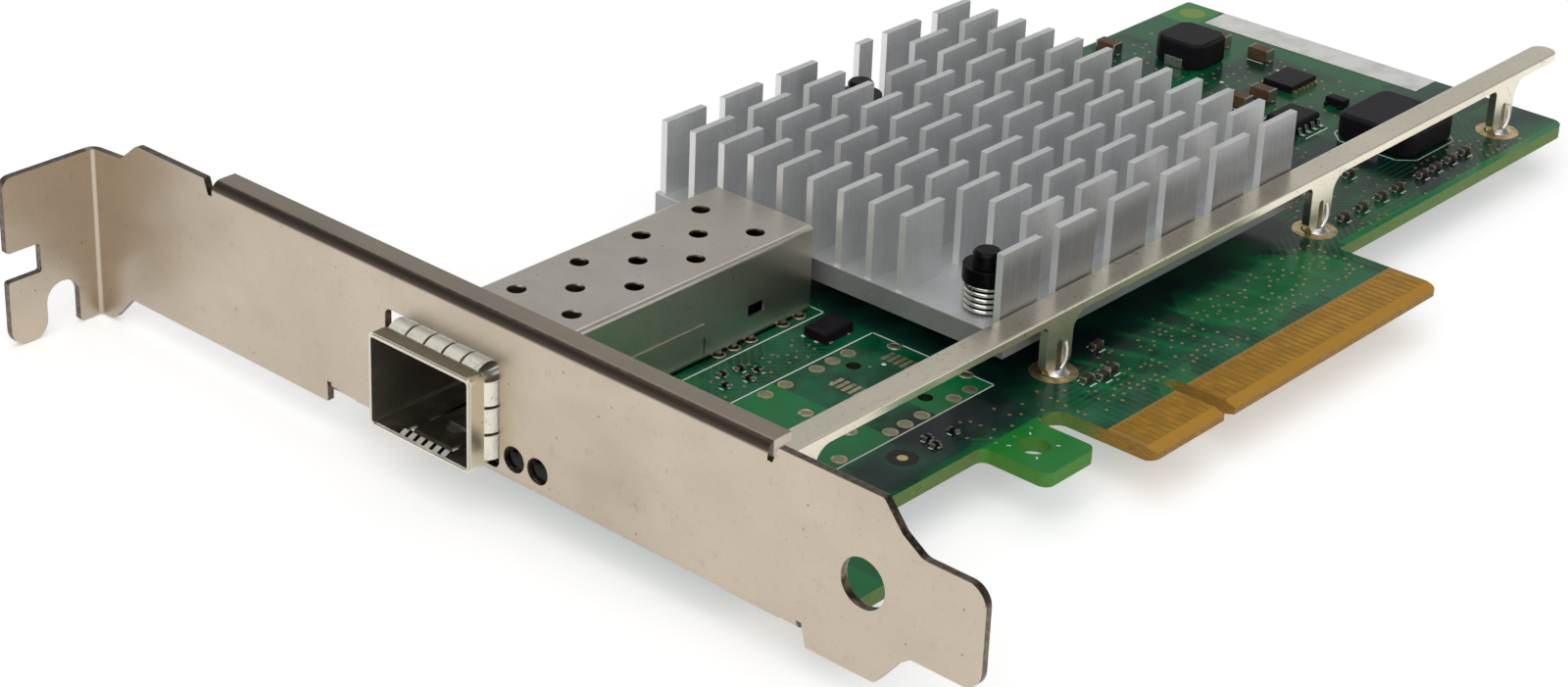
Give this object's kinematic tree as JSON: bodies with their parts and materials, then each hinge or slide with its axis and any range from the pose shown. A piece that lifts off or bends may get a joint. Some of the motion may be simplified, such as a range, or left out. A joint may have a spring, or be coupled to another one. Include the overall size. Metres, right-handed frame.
{
  "type": "network interface card",
  "caption": "Network interface card: green circuit board with gold edge fingers, a steel bracket and port cage, a pin-fin heat sink and a long stiffener bar.",
  "frame": {"origin": "centre of the key notch at the bottom edge of the gold fingers, on the component side of the board", "axes": "+X along the card away from the bracket, +Y towards the bracket's screw tab, +Z out of the component side"},
  "size_m": [0.1664, 0.1204, 0.0221],
  "materials": {
    "circuit_board": "glossy green solder mask",
    "edge_contacts_front": "gold-plated copper",
    "edge_contacts_back": "gold-plated copper",
    "bracket": "nickel-plated sheet steel",
    "bracket_screws": "zinc-plated steel",
    "stiffener_bar": "tin-plated sheet steel",
    "stiffener_pads": "gold-plated copper rings",
    "port_cage": "tin-plated sheet metal",
    "cage_floor": "tin-plated sheet metal",
    "cage_collar": "bright spring sheet",
    "connector_housing": "black moulded plastic",
    "connector_contacts": "gold-plated contacts",
    "port_pads": "gold-plated copper pads",
    "heat_sink": "clear anodised",
    "push_pins": "black nylon",
    "push_pin_springs": "spring steel wire",
    "controller_chip": "black moulding on a green substrate",
    "thermal_pad": "grey gap filler",
    "oscillator": "black moulding",
    "square_inductor": "grey ferrite moulding",
    "wide_inductor": "dark ferrite moulding",
    "inductor_terminals": "tinned copper",
    "soic_chip": "black moulding",
    "soic_leads": "tinned leads",
    "regulator_chip": "black moulding",
    "regulator_pads": "tinned pads",
    "transistor": "black moulding",
    "large_capacitors": "brown ceramic",
    "small_capacitors": "brown ceramic",
    "resistors": "black glazed ceramic",
    "solder_ends": "soldered ends",
    "label": "plain grey-white film",
    "status_lamps": "milky clear moulding"
  },
  "bodies": {
    "root": {"circuit_board": "circuit_board", "edge_contacts_front": "edge_contacts_front", "edge_contacts_back": "edge_contacts_back", "bracket": "bracket", "bracket_screws": "bracket_screws", "stiffener_bar": "stiffener_bar", "stiffener_pads": "stiffener_pads", "port_cage": "port_cage", "cage_floor": "cage_floor", "cage_collar": "cage_collar", "connector_housing": "connector_housing", "connector_contacts": "connector_contacts", "port_pads": "port_pads", "heat_sink": "heat_sink", "push_pins": "push_pins", "push_pin_springs": "push_pin_springs", "controller_chip": "controller_chip", "thermal_pad": "thermal_pad", "oscillator": "oscillator", "square_inductor": "square_inductor", "wide_inductor": "wide_inductor", "inductor_terminals": "inductor_terminals", "soic_chip": "soic_chip", "soic_leads": "soic_leads", "regulator_chip": "regulator_chip", "regulator_pads": "regulator_pads", "transistor": "transistor", "large_capacitors": "large_capacitors", "small_capacitors": "small_capacitors", "resistors": "resistors", "solder_ends": "solder_ends", "label": "label", "status_lamps": "status_lamps"}
  },
  "joints": []
}
